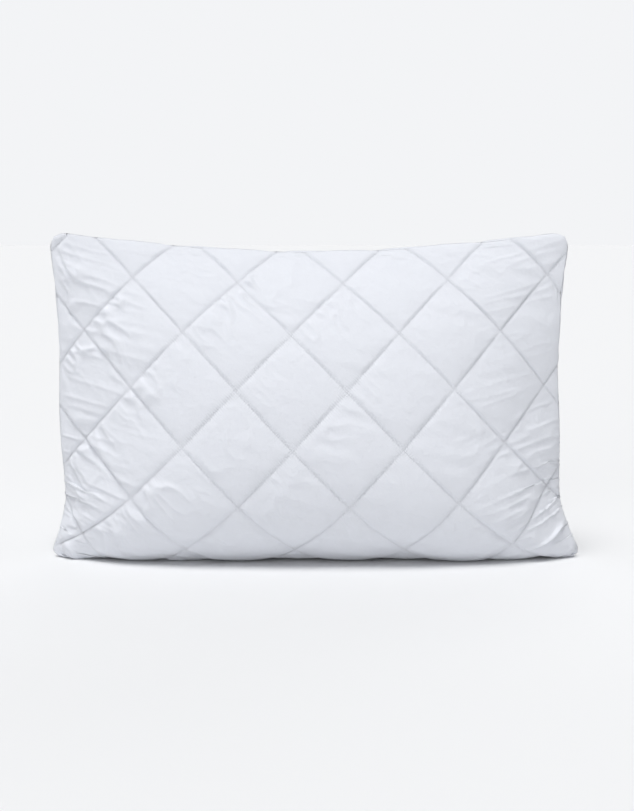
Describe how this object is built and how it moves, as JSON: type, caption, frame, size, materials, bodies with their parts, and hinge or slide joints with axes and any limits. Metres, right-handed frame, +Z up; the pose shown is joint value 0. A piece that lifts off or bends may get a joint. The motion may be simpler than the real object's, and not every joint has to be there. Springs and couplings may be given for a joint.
{
  "type": "bed pillow",
  "caption": "Rectangular bed pillow with a diamond-quilted white cover and a soft fibre filling, standing upright on one long edge.",
  "frame": {"origin": "middle of the pillow's footprint, on the surface that it stands on", "axes": "+X along the pillow's length, +Y from the front panel to the back panel, +Z up along its short side; the front panel faces -Y"},
  "size_m": [0.702, 0.1848, 0.432],
  "materials": {
    "face_fabric": "white brushed microfibre, soft sheen, matte",
    "wadding": "white lofted polyester wadding",
    "backing": "white non-woven backing cloth",
    "thread": "white polyester thread, slight sheen",
    "fibre": "loose white polyester fibre"
  },
  "bodies": {
    "root": {"front_face_fabric": "face_fabric", "front_wadding": "wadding", "front_backing": "backing", "front_needle_thread": "thread", "front_bobbin_thread": "thread", "back_face_fabric": "face_fabric", "back_wadding": "wadding", "back_backing": "backing", "back_needle_thread": "thread", "back_bobbin_thread": "thread", "seam_lockstitch": "thread", "seam_overlock": "thread", "closing_topstitch": "thread", "fibre_filling": "fibre"}
  },
  "joints": []
}
